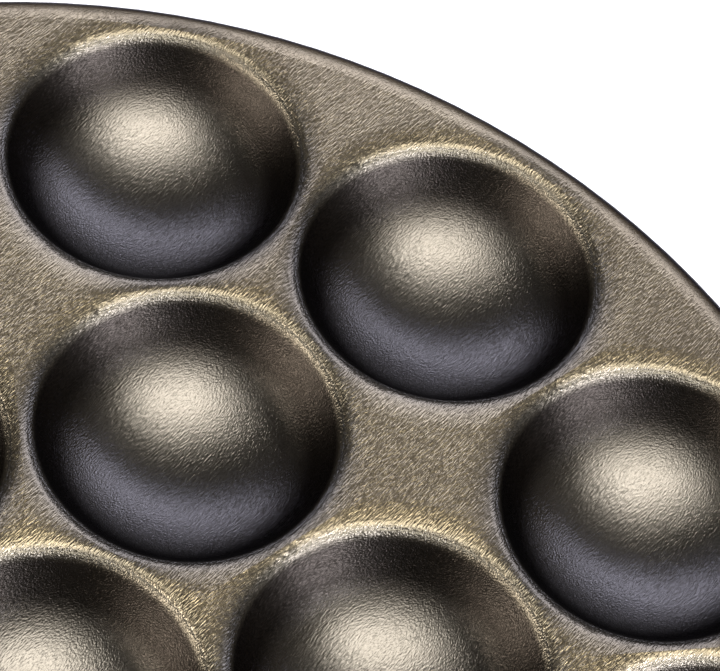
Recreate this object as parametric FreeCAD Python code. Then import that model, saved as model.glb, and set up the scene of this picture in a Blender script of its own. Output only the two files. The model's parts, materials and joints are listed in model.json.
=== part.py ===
import FreeCAD, Part
import math
import os

from FreeCAD import Placement, Rotation, Vector

# Table-top electric donut maker: a round cast plate with ball cups on a bowl-shaped base.
# Millimetres. Z is up from the table, -Y is the front with the knob, the plate is centred on Z.

# Baking plate
CUP_MOUTH_RADIUS = 28.9    # where a cup's lip leaves the flat top
CUP_DEPTH = 18.0
LIP_RADIUS = 2.6
CUP_WALL = 3.0
WEB_LAND = 0.2             # flat left between two neighbouring mouths
WEB_THICKNESS = 5.0
RIM_LAND = 7.35            # from an outer cup's mouth to the plate's edge
EDGE_RADIUS = 7.3
SKIRT_HEIGHT = 17.0
SKIRT_WALL = 4.0
INNER_CUPS = 6
OUTER_CUPS = 12
LAYOUT_ANGLE = 90.0        # direction of the first inner cup

# Heating element, pressed into a grooved rib under the plate
ELEMENT_DIAMETER = 6.6
ELEMENT_PROUD = 0.8        # how far it stands out of its groove
ELEMENT_BEND = 9.0
GROOVE_CLEARANCE = 0.05
RIB_WALL = 3.2
TERMINAL_ANGLE = 120.0
LEG_SPACING = 24.0
LEG_DROP = 8.0             # how far a leg reaches below the heat shield
BEAD_LENGTH = 5.0
PIN_DIAMETER = 2.5
TAB_WIDTH = 6.3
TAB_THICKNESS = 0.8
TAB_LENGTH = 8.0

# Heights of the base
FOOT_HEIGHT = 8.0
COVER_THICKNESS = 2.5
COVER_INSET = 1.5          # cover underside above the shell's bottom edge
ELECTRICS_ROOM = 43.0      # from the cover up to the heat shield
SHIELD_THICKNESS = 0.8
SHIELD_DISH = 8.0
PLATE_STANDOFF = 2.5       # from the ledge up to the cup bottoms
SKIRT_LAP = 1.5            # height by which the skirt covers the shell's top

# Base shell
SKIRT_GAP = 4.0
SHELL_WALL = 2.8
SHELL_FLARE = 16.0
SHELL_BELLY = 4.0
SHELL_EDGE = 1.0
LEDGE_WIDTH = 18.0
LEDGE_THICKNESS = 3.0
POST_RADIUS = 4.5
POST_INSET = 17.0          # post axis in from the shell's bottom edge
POST_HEIGHT = 26.0
POST_RIB = 2.6
VENT_WIDTH = 3.2
VENT_HEIGHT = 24.0
VENT_PITCH = 4.2           # degrees between two vents
VENT_COUNT = 7
VENT_ANGLES = (52.0, 128.0)

# Plate mounting
BOSS_COUNT = 6
BOSS_INSET = 17.0
BOSS_RADIUS = 5.0
SPACER_RADIUS = 5.5
SPACER_THICKNESS = 4.0
SCREW_CLEARANCE = 0.05     # round a screw in its thread
HOLE_CLEARANCE = 0.2       # round a screw in a through hole
M4_RADIUS = 2.0
M4_HEAD_RADIUS = 3.8
M4_HEAD_HEIGHT = 2.4
M3_RADIUS = 1.5
M3_HEAD_RADIUS = 2.75
M3_HEAD_HEIGHT = 1.8
SLOT_WIDTH = 1.0
SLOT_DEPTH = 0.9
THREAD_GRIP = 10.0         # length of a screw in its thread

# Controls at the front
KNOB_RADIUS = 16.5
KNOB_HEIGHT = 13.0
KNOB_GAP = 0.6
KNOB_SETBACK = 0.6         # knob face inside the plate's edge
KNOB_FLUTES = 18
FLUTE_RADIUS = 2.4
FLUTE_DEPTH = 1.1
POINTER_WIDTH = 1.8
POINTER_DEPTH = 1.0
SHAFT_RADIUS = 3.0
SHAFT_FLAT = 1.5
SHAFT_CLEARANCE = 0.05
CONTROL_HEIGHT = 29.5      # knob axis above the shell's bottom edge
POD_WIDTH = 104.0
POD_HEIGHT = 50.0
POD_CORNER = 9.0
POD_WALL = 4.0
POD_ROUND = 2.5
PANEL_MARGIN = 4.0
PANEL_THICKNESS = 1.5
PANEL_CLEARANCE = 0.2
LAMP_FROM_END = 17.0
LAMP_OFFSET = POD_WIDTH / 2 - LAMP_FROM_END
LENS_RADIUS = 4.0
LENS_HEAD_RADIUS = 5.0
LENS_HEAD_HEIGHT = 2.2
LENS_LENGTH = 16.0
LENS_WALL = 1.1
LENS_CLEARANCE = 0.15
LENS_CLIP_RADIUS = 6.5
LENS_CLIP_THICKNESS = 0.8
NEON_RADIUS = 2.6
NEON_LENGTH = 15.0
NEON_SETBACK = 1.5
NEON_LEAD_RADIUS = 0.35
NEON_LEAD_LENGTH = 8.0
NEON_LEAD_OFFSET = 1.2

# Thermostat with its bulb, and thermal fuse
STAT_WIDTH = 36.0
STAT_HEIGHT = 28.0
STAT_DEPTH = 22.0
STAT_PLATE = 1.5
STAT_EAR = 5.0
STAT_SCREW_OFFSET = 11.0
BULB_RADIUS = 3.0
CAPILLARY_RADIUS = 0.8
CAPILLARY_BEND = 6.0
CAPILLARY_DROP_OFFSET = 17.0   # its drop, behind the thermostat's back
FUSE_RADIUS = 2.4
FUSE_LENGTH = 24.0
FUSE_LEAD_RADIUS = 0.5
FUSE_LEAD_LENGTH = 10.0
SPRING_FIT = 0.02          # round a pressed-on clip
CLIP_THICKNESS = 0.8
CLIP_WIDTH = 8.0
SENSOR_BOSS_RADIUS = 4.0

# Side handles
HANDLE_Z = 44.0
HANDLE_ROOM = 38.0         # from a pad's face to the handle's bar
HANDLE_SPREAD = 42.0       # leg axis from the middle
HANDLE_WIDTH = 18.0
HANDLE_THICKNESS = 15.0
HANDLE_ROUND = 5.5
HANDLE_BEND = 30.0
PAD_WIDTH = 24.0
PAD_HEIGHT = 21.0
PAD_BOSS_LENGTH = 14.0
PAD_BOSS_RADIUS = 5.5

# Mains inlet at the back
INLET_POD_WIDTH = 62.0
INLET_POD_HEIGHT = 36.0
INLET_POD_CORNER = 7.0
INLET_FLAT = 1.5           # flat face for the inlet, inside the bowl's round
INLET_WIDTH = 27.0
INLET_HEIGHT = 19.5
INLET_LENGTH = 22.0
INLET_WALL = 1.5
INLET_FLOOR = 4.0
INLET_FLANGE_WIDTH = 50.0
INLET_FLANGE_HEIGHT = 25.0
INLET_FLANGE = 2.5
INLET_CHAMFER = 5.0
INLET_FLANGE_CORNER = 5.0
BLADE_FIT = 0.05
INLET_SCREW_OFFSET = 20.0
INLET_CLEARANCE = 0.3
BLADE_WIDTH = 4.0
BLADE_THICKNESS = 2.0
BLADE_SETBACK = 3.0
BLADE_OFFSET = 7.0
BLADE_RISE = 2.0

# Feet and cover
FOOT_RADIUS = 11.0
FOOT_TAPER = 1.5
FOOT_ROUND = 1.2
FOOT_BORE_RADIUS = 5.0
FOOT_BORE_DEPTH = 4.5
COVER_GAP = 0.5
COVER_SLOTS = 20
COVER_SLOT_WIDTH = 3.6
COVER_SLOT_LENGTH = 22.0
COVER_SLOT_RADIUS = 62.0

# Places that follow from the sizes above
CUP_PITCH = 2 * CUP_MOUTH_RADIUS + WEB_LAND
OUTER_RING = CUP_PITCH * math.sqrt(2 + math.sqrt(3))
PLATE_RADIUS = OUTER_RING + CUP_MOUTH_RADIUS + RIM_LAND
BOWL_RADIUS = (CUP_MOUTH_RADIUS ** 2 + CUP_DEPTH ** 2) / (2 * CUP_DEPTH) - LIP_RADIUS
PLATE_DEPTH = CUP_DEPTH + CUP_WALL
ELEMENT_RING = CUP_PITCH * (math.cos(math.radians(30)) + 0.5)
COVER_TOP = FOOT_HEIGHT + COVER_THICKNESS
SHIELD_FLOOR = COVER_TOP + ELECTRICS_ROOM
LEDGE_TOP = SHIELD_FLOOR + SHIELD_DISH
LEDGE_BOTTOM = LEDGE_TOP - LEDGE_THICKNESS
CUP_BOTTOM = LEDGE_TOP + PLATE_STANDOFF
PLATE_TOP = CUP_BOTTOM + PLATE_DEPTH
BOWL_CENTRE = PLATE_TOP + BOWL_RADIUS - CUP_DEPTH
WEB_BOTTOM = PLATE_TOP - WEB_THICKNESS
ELEMENT_Z = CUP_BOTTOM + ELEMENT_DIAMETER / 2 - ELEMENT_PROUD
SHELL_BOTTOM = FOOT_HEIGHT - COVER_INSET
SHELL_TOP = PLATE_TOP - SKIRT_HEIGHT + SKIRT_LAP
SHELL_TOP_RADIUS = PLATE_RADIUS - SKIRT_WALL - SKIRT_GAP
SHELL_BOTTOM_RADIUS = SHELL_TOP_RADIUS - SHELL_FLARE
LEDGE_RADIUS = SHELL_TOP_RADIUS - SHELL_WALL - LEDGE_WIDTH
BOSS_RING = PLATE_RADIUS - BOSS_INSET
SHIELD_RADIUS = BOSS_RING - SPACER_RADIUS - 1.0
SHIELD_SCREW_RING = (LEDGE_RADIUS + SHIELD_RADIUS) / 2
POST_RING = SHELL_BOTTOM_RADIUS - POST_INSET
CONTROL_Z = SHELL_BOTTOM + CONTROL_HEIGHT
KNOB_FACE = PLATE_RADIUS - KNOB_SETBACK
POD_FACE = KNOB_FACE - KNOB_HEIGHT - KNOB_GAP
POD_INSIDE = POD_FACE - POD_WALL
STAT_BACK = POD_INSIDE - STAT_PLATE - STAT_DEPTH
SENSOR_X = CUP_PITCH / (2 * math.sqrt(3))
SENSOR_Y = CUP_PITCH / 2
X, Y, Z = Vector(1, 0, 0), Vector(0, 1, 0), Vector(0, 0, 1)


def shell_radius(z):
    """Outer radius of the base shell at a height."""
    part = (z - SHELL_BOTTOM) / (SHELL_TOP - SHELL_BOTTOM)
    return SHELL_BOTTOM_RADIUS + SHELL_FLARE * part + 4 * SHELL_BELLY * part * (1 - part)


# Faces that meet the bowl: a pad's inner edge lies on it, and the inlet's face is a flat in it
PAD_REACH = math.sqrt(shell_radius(HANDLE_Z) ** 2 - (HANDLE_SPREAD - PAD_WIDTH / 2) ** 2)
HANDLE_REACH = PAD_REACH + HANDLE_ROOM + HANDLE_WIDTH
INLET_REACH = shell_radius(CONTROL_Z) - INLET_FLAT


def polar(radius, degrees, z=0.0):
    """Point at a distance from the Z axis, in a direction counted from +X."""
    turn = math.radians(degrees)
    return Vector(radius * math.cos(turn), radius * math.sin(turn), z)


def rod(radius, start, end):
    """Cylinder from one point to another."""
    return Part.makeCylinder(radius, (end - start).Length, start, end - start)


def tube(outer, inner, start, end):
    """Cylinder with a through bore."""
    return rod(outer, start, end).cut(rod(inner, start, end))


def spaced(count, first=0.0):
    """Directions that share out the full turn."""
    return [first + 360.0 * i / count for i in range(count)]


def outline(start, *moves):
    """Closed face in the half plane y = 0: a move is an end point (r, z), or a (middle, end) pair for an arc."""
    edges = []
    here = Vector(start[0], 0, start[1])
    for move in moves + (start,):
        if isinstance(move[0], tuple):
            middle, end = (Vector(p[0], 0, p[1]) for p in move)
            edges.append(Part.Arc(here, middle, end).toShape())
        else:
            end = Vector(move[0], 0, move[1])
            edges.append(Part.makeLine(here, end))
        here = end
    return Part.Face(Part.Wire(edges))


def dome(radius, low, high):
    """Arc of a ball cap from (radius, low) to its top on the Z axis, as a move of an outline."""
    rise = high - low
    ball = (radius ** 2 + rise ** 2) / (2 * rise)
    lean = math.asin(radius / ball) / 2
    return (ball * math.sin(lean), high - ball * (1 - math.cos(lean))), (0, high)


def turned(start, *moves):
    """Solid turned about Z from an outline."""
    return outline(start, *moves).revolve(Vector(), Z, 360)


def block(low, high, radius=0.0, along=Z):
    """Box between two corners, its four edges along one axis rounded."""
    box = Part.makeBox(high.x - low.x, high.y - low.y, high.z - low.z, low)
    if radius:
        edges = [e for e in box.Edges if abs(e.tangentAt(0).dot(along)) > 0.9]
        box = box.makeFillet(radius, edges)
    return box


def bent(radius, *edges):
    """Round bar along a path of edges that run into one another."""
    path = Part.Wire(list(edges))
    first = edges[0]
    start = first.valueAt(first.FirstParameter)
    ring = Part.Wire(Part.makeCircle(radius, start, first.tangentAt(first.FirstParameter)))
    return path.makePipeShell([ring], True, False)


def corner(before, at, after, radius):
    """Arc that rounds a square corner of a path, with its two ends."""
    a = at + (before - at).normalize() * radius
    b = at + (after - at).normalize() * radius
    centre = a + b - at
    middle = centre + (at - centre).normalize() * radius
    return a, Part.Arc(a, middle, b).toShape(), b


def run(radius, bend, *points):
    """Round bar through points that are joined at right angles, each corner rounded."""
    edges = []
    here = points[0]
    for before, at, after in zip(points, points[1:], points[2:]):
        a, arc, b = corner(before, at, after, bend)
        edges += [Part.makeLine(here, a), arc]
        here = b
    edges.append(Part.makeLine(here, points[-1]))
    return bent(radius, *edges)


def screw(head_radius, head_height, shank_radius, seat, tip):
    """Pan-head screw: its head stands on the seat, its shank runs to the tip, its slot is in the head."""
    axis = (tip - seat).normalize()
    top = seat - axis * head_height
    head = rod(head_radius, top, seat)
    rim = [e for e in head.Edges if abs(e.CenterOfMass.sub(top).dot(axis)) < 1e-6 and e.Closed]
    head = head.makeFillet(head_height / 2, rim)
    slot = Part.makeBox(3 * head_radius, SLOT_WIDTH, SLOT_DEPTH,
                        Vector(-1.5 * head_radius, -SLOT_WIDTH / 2, 0))
    slot.Placement = Placement(top, Rotation(Z, axis)).multiply(slot.Placement)
    return head.fuse(rod(shank_radius, seat, tip)).cut(slot).removeSplitter()


def m4(seat, tip):
    return screw(M4_HEAD_RADIUS, M4_HEAD_HEIGHT, M4_RADIUS, seat, tip)


def m3(seat, tip):
    return screw(M3_HEAD_RADIUS, M3_HEAD_HEIGHT, M3_RADIUS, seat, tip)


def group(shapes):
    """Separate solids kept together in one node."""
    return Part.makeCompound(list(shapes))


def cup_centres():
    """One cup in the middle, a ring of six, and a ring of twelve that touches it in squares and triangles."""
    inner = [polar(CUP_PITCH, a) for a in spaced(INNER_CUPS, LAYOUT_ANGLE)]
    outer = [polar(OUTER_RING, a) for a in spaced(OUTER_CUPS, LAYOUT_ANGLE + 180.0 / OUTER_CUPS)]
    return [Vector()] + inner + outer


def boss_points(z):
    return [polar(BOSS_RING, a, z) for a in spaced(BOSS_COUNT, LAYOUT_ANGLE + 180.0 / BOSS_COUNT)]


def sensor_points(z):
    return [Vector(sx * SENSOR_X, sy * SENSOR_Y, z) for sx in (-1, 1) for sy in (-1, 1)]


def cup_bulge():
    """Underside of one cup: a ball that follows the bowl at the wall's thickness."""
    ball = BOWL_RADIUS + CUP_WALL
    top = PLATE_TOP - WEB_THICKNESS / 2
    mouth = math.sqrt(ball ** 2 - (BOWL_CENTRE - top) ** 2)
    lean = math.asin(mouth / ball) / 2
    middle = (ball * math.sin(lean), BOWL_CENTRE - ball * math.cos(lean))
    return turned((0, top), (0, CUP_BOTTOM), (middle, (mouth, top)))


def cup_hollow():
    """One cup with its rounded lip, as the shape taken out of the plate."""
    reach = BOWL_RADIUS + LIP_RADIUS
    lean = math.asin(CUP_MOUTH_RADIUS / reach)
    lip_z = PLATE_TOP - LIP_RADIUS

    def on_bowl(turn):
        return (BOWL_RADIUS * math.sin(turn), BOWL_CENTRE - BOWL_RADIUS * math.cos(turn))

    def on_lip(turn):
        return (CUP_MOUTH_RADIUS - LIP_RADIUS * math.sin(turn), lip_z + LIP_RADIUS * math.cos(turn))

    return turned((0, PLATE_TOP), (0, PLATE_TOP - CUP_DEPTH), (on_bowl(lean / 2), on_bowl(lean)),
                  (on_lip(lean / 2), on_lip(0)))


def element_rib():
    """Ring under the plate with a groove for the heating element, open below."""
    groove = ELEMENT_DIAMETER / 2 + GROOVE_CLEARANCE
    half = groove + RIB_WALL
    low = CUP_BOTTOM
    return turned((ELEMENT_RING - half, low), (ELEMENT_RING - groove, low),
                  (ELEMENT_RING - groove, ELEMENT_Z),
                  ((ELEMENT_RING, ELEMENT_Z + groove), (ELEMENT_RING + groove, ELEMENT_Z)),
                  (ELEMENT_RING + groove, low), (ELEMENT_RING + half, low),
                  (ELEMENT_RING + half, WEB_BOTTOM + 1), (ELEMENT_RING - half, WEB_BOTTOM + 1))


def element_channel():
    """Room of the element, which keeps the cup walls out of the groove."""
    groove = ELEMENT_DIAMETER / 2 + GROOVE_CLEARANCE
    low = CUP_BOTTOM - 1
    return turned((ELEMENT_RING - groove, low), (ELEMENT_RING - groove, ELEMENT_Z),
                  ((ELEMENT_RING, ELEMENT_Z + groove), (ELEMENT_RING + groove, ELEMENT_Z)),
                  (ELEMENT_RING + groove, low))


def plate_disc():
    """Flat top with its edge rounded over into a skirt."""
    inside = PLATE_RADIUS - SKIRT_WALL
    low = PLATE_TOP - SKIRT_HEIGHT
    bead = SKIRT_WALL / 2
    diagonal = EDGE_RADIUS * (1 - math.sqrt(0.5))
    return turned((0, WEB_BOTTOM), (inside, WEB_BOTTOM), (inside, low + bead),
                  ((inside + bead, low), (PLATE_RADIUS, low + bead)),
                  (PLATE_RADIUS, PLATE_TOP - EDGE_RADIUS),
                  ((PLATE_RADIUS - diagonal, PLATE_TOP - diagonal), (PLATE_RADIUS - EDGE_RADIUS, PLATE_TOP)),
                  (0, PLATE_TOP))


def baking_plate():
    """Cast plate: cups, rounded edge, skirt, element rib, mounting bosses and sensor bosses."""
    centres = cup_centres()
    bulge = cup_bulge()
    pieces = [bulge.translated(c) for c in centres]
    pieces.append(element_rib())
    pieces += [rod(BOSS_RADIUS, p, p + Z * (WEB_BOTTOM + 1 - p.z))
               for p in boss_points(LEDGE_TOP + SPACER_THICKNESS)]
    pieces += [rod(SENSOR_BOSS_RADIUS, p, p + Z * (WEB_BOTTOM + 1 - p.z)) for p in sensor_points(CUP_BOTTOM)]
    plate = plate_disc().multiFuse(pieces)
    hollow = cup_hollow()
    tools = [hollow.translated(c) for c in centres] + [element_channel()]
    tools += [rod(M4_RADIUS + SCREW_CLEARANCE, p, p + Z * (THREAD_GRIP + 1))
              for p in boss_points(LEDGE_TOP + SPACER_THICKNESS)]
    tools += [rod(M3_RADIUS + SCREW_CLEARANCE, p, p + Z * (THREAD_GRIP + 1))
              for p in sensor_points(CUP_BOTTOM)]
    return plate.cut(tools).removeSplitter()


def element_legs():
    """Both ends of the element's ring: where the ring stops, the way on, and where the leg points down."""
    half = math.degrees((LEG_SPACING / 2 + ELEMENT_BEND) / ELEMENT_RING)
    legs = []
    for side in (1, -1):
        angle = TERMINAL_ANGLE + side * half
        stop = polar(ELEMENT_RING, angle, ELEMENT_Z)
        way = polar(1.0, angle - side * 90)
        legs.append((stop, way, stop + way * ELEMENT_BEND - Z * ELEMENT_BEND))
    return legs


def leg_end(leg):
    return Vector(leg[2].x, leg[2].y, SHIELD_FLOOR - LEG_DROP)


def heating_element():
    """Tube bent round the rib, both ends turned down through the heat shield."""
    first, last = element_legs()
    far = polar(ELEMENT_RING, TERMINAL_ANGLE + 180, ELEMENT_Z)
    edges = [Part.makeLine(leg_end(first), first[2])]
    for leg, reverse in ((first, True), (last, False)):
        stop, way, down = leg
        middle = stop + way * ELEMENT_BEND * math.sqrt(0.5) - Z * ELEMENT_BEND * (1 - math.sqrt(0.5))
        ends = (down, stop) if reverse else (stop, down)
        edges.append(Part.Arc(ends[0], middle, ends[1]).toShape())
    edges.insert(2, Part.Arc(first[0], far, last[0]).toShape())
    edges.append(Part.makeLine(last[2], leg_end(last)))
    return bent(ELEMENT_DIAMETER / 2, *edges)


def element_beads():
    """Ceramic beads that close the ends of the element round its pins."""
    ends = [leg_end(leg) for leg in element_legs()]
    return group(tube(ELEMENT_DIAMETER / 2, PIN_DIAMETER / 2, e, e - Z * BEAD_LENGTH) for e in ends)


def element_pins():
    """Connection pins with flat tabs at the ends of the element."""
    pins = []
    for leg in element_legs():
        top = leg_end(leg)
        low = top - Z * (BEAD_LENGTH + TAB_LENGTH / 2)
        tab = block(low + Vector(-TAB_WIDTH / 2, -TAB_THICKNESS / 2, -TAB_LENGTH),
                    low + Vector(TAB_WIDTH / 2, TAB_THICKNESS / 2, 0))
        pins.append(rod(PIN_DIAMETER / 2, top, low - Z).fuse(tab))
    return group(pins)


def shield_screw_points(z):
    return [polar(SHIELD_SCREW_RING, a, z) for a in spaced(3, LAYOUT_ANGLE + 180)]


def capillary_drop():
    return Vector(0, -(STAT_BACK - CAPILLARY_DROP_OFFSET), CUP_BOTTOM - BULB_RADIUS)


def heat_shield():
    """Pressed dish under the element, its flange resting on the shell's ledge."""
    t = SHIELD_THICKNESS
    floor = LEDGE_RADIUS - SHIELD_DISH - 1
    lip = floor + SHIELD_DISH * 0.6
    dish = turned((0, SHIELD_FLOOR), (floor, SHIELD_FLOOR), (lip, LEDGE_TOP), (SHIELD_RADIUS, LEDGE_TOP),
                  (SHIELD_RADIUS, LEDGE_TOP + t), (lip - t, LEDGE_TOP + t), (floor - t, SHIELD_FLOOR + t),
                  (0, SHIELD_FLOOR + t))
    under = SHIELD_FLOOR - 1
    holes = [rod(ELEMENT_DIAMETER, leg_end(leg), leg[2]) for leg in element_legs()]
    drop = capillary_drop()
    holes.append(rod(3 * CAPILLARY_RADIUS, Vector(drop.x, drop.y, under), drop))
    holes += [rod(M3_RADIUS + 2 * SCREW_CLEARANCE, p, p + Z * 2 * LEDGE_THICKNESS)
              for p in shield_screw_points(LEDGE_BOTTOM)]
    return dish.cut(holes)


def shield_screws():
    return group(m3(p, p - Z * (SHIELD_THICKNESS + LEDGE_THICKNESS + 2))
                 for p in shield_screw_points(LEDGE_TOP + SHIELD_THICKNESS))


def plate_spacers():
    """Insulating washers between the plate's bosses and the shell's ledge."""
    return group(tube(SPACER_RADIUS, M4_RADIUS + 1.5 * HOLE_CLEARANCE, p, p + Z * SPACER_THICKNESS)
                 for p in boss_points(LEDGE_TOP))


def plate_screws():
    """Screws that draw the plate down on its spacers from under the ledge."""
    return group(m4(p, p + Z * (LEDGE_THICKNESS + SPACER_THICKNESS + THREAD_GRIP))
                 for p in boss_points(LEDGE_BOTTOM))


def bowl_profile(inset, low, high):
    """Turned bowl of the base, drawn in by a wall's thickness."""
    heights = (low, (low + high) / 2, high)
    wall_low, wall_middle, wall_high = ((shell_radius(z) - inset, z) for z in heights)
    return turned((0, low), wall_low, (wall_middle, wall_high), (0, high))


def pod(width, height, corner_radius, reach, inset, back):
    """Rounded block that carries a flat panel out from the bowl, on the front; inset draws it in by a wall."""
    return block(Vector(inset - width / 2, -reach, CONTROL_Z - height / 2 + inset),
                 Vector(width / 2 - inset, -back, CONTROL_Z + height / 2 - inset), corner_radius - inset, Y)


def rounded_pod(width, height, corner_radius, reach, back):
    """Pod with its face edge rounded over."""
    body = pod(width, height, corner_radius, reach, 0, back)
    face = [e for e in body.Edges if abs(e.CenterOfMass.y + reach) < 1e-3]
    return body.makeFillet(POD_ROUND, face)


def to_back(shape):
    """The same shape at the back of the base."""
    return shape.rotated(Vector(), Z, 180)


def pads(start, end):
    """Round-edged blocks at the four handle roots, from one distance to another along X."""
    half = Vector(0, PAD_WIDTH / 2, PAD_HEIGHT / 2)
    blocks = []
    for side in (-1, 1):
        low_x, high_x = sorted((side * start, side * end))
        for y in (-HANDLE_SPREAD, HANDLE_SPREAD):
            middle = Vector(0, y, HANDLE_Z)
            blocks.append(block(middle - half + X * low_x, middle + half + X * high_x, HANDLE_ROUND, X))
    return blocks


def handle_points(x):
    return [Vector(side * x, y, HANDLE_Z) for side in (-1, 1) for y in (-HANDLE_SPREAD, HANDLE_SPREAD)]


def post_points(z):
    return [polar(POST_RING, a, z) for a in spaced(4, 45)]


def shell_body():
    """Bowl with flat faces for the controls and the inlet, and handle pads, hollow right through."""
    back = LEDGE_RADIUS - 12
    front_size = (POD_WIDTH, POD_HEIGHT, POD_CORNER)
    back_size = (INLET_POD_WIDTH, INLET_POD_HEIGHT, INLET_POD_CORNER)
    outer = bowl_profile(0, SHELL_BOTTOM, SHELL_TOP)
    lips = [e for e in outer.Edges if e.Closed and e.Curve.TypeId == "Part::GeomCircle"]
    outer = outer.makeFillet(SHELL_EDGE, lips)
    outer = outer.cut([pod(*front_size, PLATE_RADIUS, 0, POD_FACE - POD_ROUND),
                       to_back(pod(*back_size, PLATE_RADIUS, 0, INLET_REACH - POD_ROUND))])
    outer = outer.multiFuse([rounded_pod(*front_size, POD_FACE, back),
                             to_back(rounded_pod(*back_size, INLET_REACH, back))] + pads(back, PAD_REACH))
    hollow = bowl_profile(SHELL_WALL, SHELL_BOTTOM - 1, SHELL_TOP + 1)
    hollow = hollow.cut([pod(*front_size, PLATE_RADIUS, 0, POD_INSIDE),
                         to_back(pod(*back_size, PLATE_RADIUS, 0, INLET_REACH - SHELL_WALL))])
    front_room = pod(*front_size, POD_INSIDE, SHELL_WALL, back - 1)
    back_room = pod(*back_size, INLET_REACH - SHELL_WALL, SHELL_WALL, back - 1)
    return outer.cut([hollow, front_room, to_back(back_room)])


def ledge():
    """Inner flange that carries the plate and the heat shield."""
    wall = shell_radius(LEDGE_BOTTOM) - SHELL_WALL / 2
    return turned((LEDGE_RADIUS, LEDGE_BOTTOM), (wall, LEDGE_BOTTOM), (wall, LEDGE_TOP), (LEDGE_RADIUS, LEDGE_TOP))


def screw_post(point, angle):
    """Post for a cover screw, tied to the wall by a rib that follows the wall's slope."""
    top = COVER_TOP + POST_HEIGHT
    post = rod(POST_RADIUS, point, point + Z * POST_HEIGHT)
    low_wall = shell_radius(COVER_TOP) - SHELL_WALL / 2
    high_wall = shell_radius(top) - SHELL_WALL / 2
    corners = [(POST_RING, COVER_TOP), (low_wall, COVER_TOP), (high_wall, top), (POST_RING, top)]
    rib = outline(*corners).extrude(Y * POST_RIB).translated(Y * (-POST_RIB / 2))
    return post.fuse(rib.rotated(Vector(), Z, angle))


def wall_vents():
    """Upright slots through the wall at both sides of the back."""
    middle = CONTROL_Z + 2
    slots = []
    for centre in VENT_ANGLES:
        for i in range(VENT_COUNT):
            slot = block(Vector(LEDGE_RADIUS, -VENT_WIDTH / 2, middle - VENT_HEIGHT / 2),
                         Vector(PLATE_RADIUS, VENT_WIDTH / 2, middle + VENT_HEIGHT / 2), VENT_WIDTH * 0.49, X)
            slots.append(slot.rotated(Vector(), Z, centre + VENT_PITCH * (i - (VENT_COUNT - 1) / 2)))
    return slots


def inlet_window():
    half = Vector(INLET_WIDTH / 2 + INLET_CLEARANCE, 0, INLET_HEIGHT / 2 + INLET_CLEARANCE)
    middle = Vector(0, 0, CONTROL_Z)
    return block(middle - half + Y * (INLET_REACH - 2 * SHELL_WALL), middle + half + Y * (INLET_REACH + 1))


def shell_openings():
    """All holes of the shell: panel recess, shaft, lamps, screws, inlet and vents."""
    face = -POD_FACE
    inside = -POD_INSIDE + 1
    half = Vector(POD_WIDTH / 2 - PANEL_MARGIN, 0, POD_HEIGHT / 2 - PANEL_MARGIN)
    middle = Vector(0, 0, CONTROL_Z)
    cuts = [block(middle - half + Y * (face - 1), middle + half + Y * (face + PANEL_THICKNESS),
                  POD_CORNER - PANEL_MARGIN, Y)]
    cuts.append(rod(1.5 * SHAFT_RADIUS, middle + Y * face, middle + Y * inside))
    for x in (-LAMP_OFFSET, LAMP_OFFSET):
        cuts.append(rod(LENS_RADIUS + LENS_CLEARANCE, middle + Vector(x, face, 0), middle + Vector(x, inside, 0)))
    for x in (-STAT_SCREW_OFFSET, STAT_SCREW_OFFSET):
        at = middle + Vector(x, face, 0)
        seat = middle + Vector(x, -POD_INSIDE - 0.7, 0)
        cuts.append(rod(M3_HEAD_RADIUS + 0.3, at, seat))
        cuts.append(rod(M3_RADIUS + HOLE_CLEARANCE, at, middle + Vector(x, inside, 0)))
    for x in (-INLET_SCREW_OFFSET, INLET_SCREW_OFFSET):
        at = middle + Vector(x, INLET_REACH, 0)
        cuts.append(rod(M3_RADIUS + SCREW_CLEARANCE, at - Y * 12, at))
    cuts += [rod(M4_RADIUS + 1.5 * HOLE_CLEARANCE, p, p + Z * 2 * LEDGE_THICKNESS) for p in boss_points(LEDGE_BOTTOM - 1)]
    cuts += [rod(M3_RADIUS + SCREW_CLEARANCE, p, p + Z * 2 * LEDGE_THICKNESS)
             for p in shield_screw_points(LEDGE_BOTTOM - 1)]
    cuts += [rod(M4_RADIUS + SCREW_CLEARANCE, p, p + Z * (POST_HEIGHT - 4)) for p in post_points(COVER_TOP)]
    cuts += [rod(M4_RADIUS + HOLE_CLEARANCE, p, q)
             for p, q in zip(handle_points(PAD_REACH - PAD_BOSS_LENGTH - 1), handle_points(PAD_REACH + 1))]
    return cuts + [inlet_window()] + wall_vents()


def base_shell():
    """Moulded bowl with control pod, inlet pod, ledge, screw posts and handle bosses."""
    posts = [screw_post(p, a) for p, a in zip(post_points(COVER_TOP), spaced(4, 45))]
    bosses = [rod(PAD_BOSS_RADIUS, p, q)
              for p, q in zip(handle_points(PAD_REACH - PAD_BOSS_LENGTH), handle_points(PAD_REACH - 2))]
    inlet_bosses = [rod(2 * M3_RADIUS, Vector(x, INLET_REACH - 10, CONTROL_Z), Vector(x, INLET_REACH - 1, CONTROL_Z))
                    for x in (-INLET_SCREW_OFFSET, INLET_SCREW_OFFSET)]
    shell = shell_body().multiFuse([ledge()] + posts + bosses + inlet_bosses)
    return shell.cut(shell_openings()).removeSplitter()


def cover_slots():
    half = COVER_SLOT_LENGTH / 2
    slot = block(Vector(COVER_SLOT_RADIUS - half, -COVER_SLOT_WIDTH / 2, FOOT_HEIGHT - 1),
                 Vector(COVER_SLOT_RADIUS + half, COVER_SLOT_WIDTH / 2, COVER_TOP + 1), COVER_SLOT_WIDTH * 0.49)
    return [slot.rotated(Vector(), Z, a) for a in spaced(COVER_SLOTS)]


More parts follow.
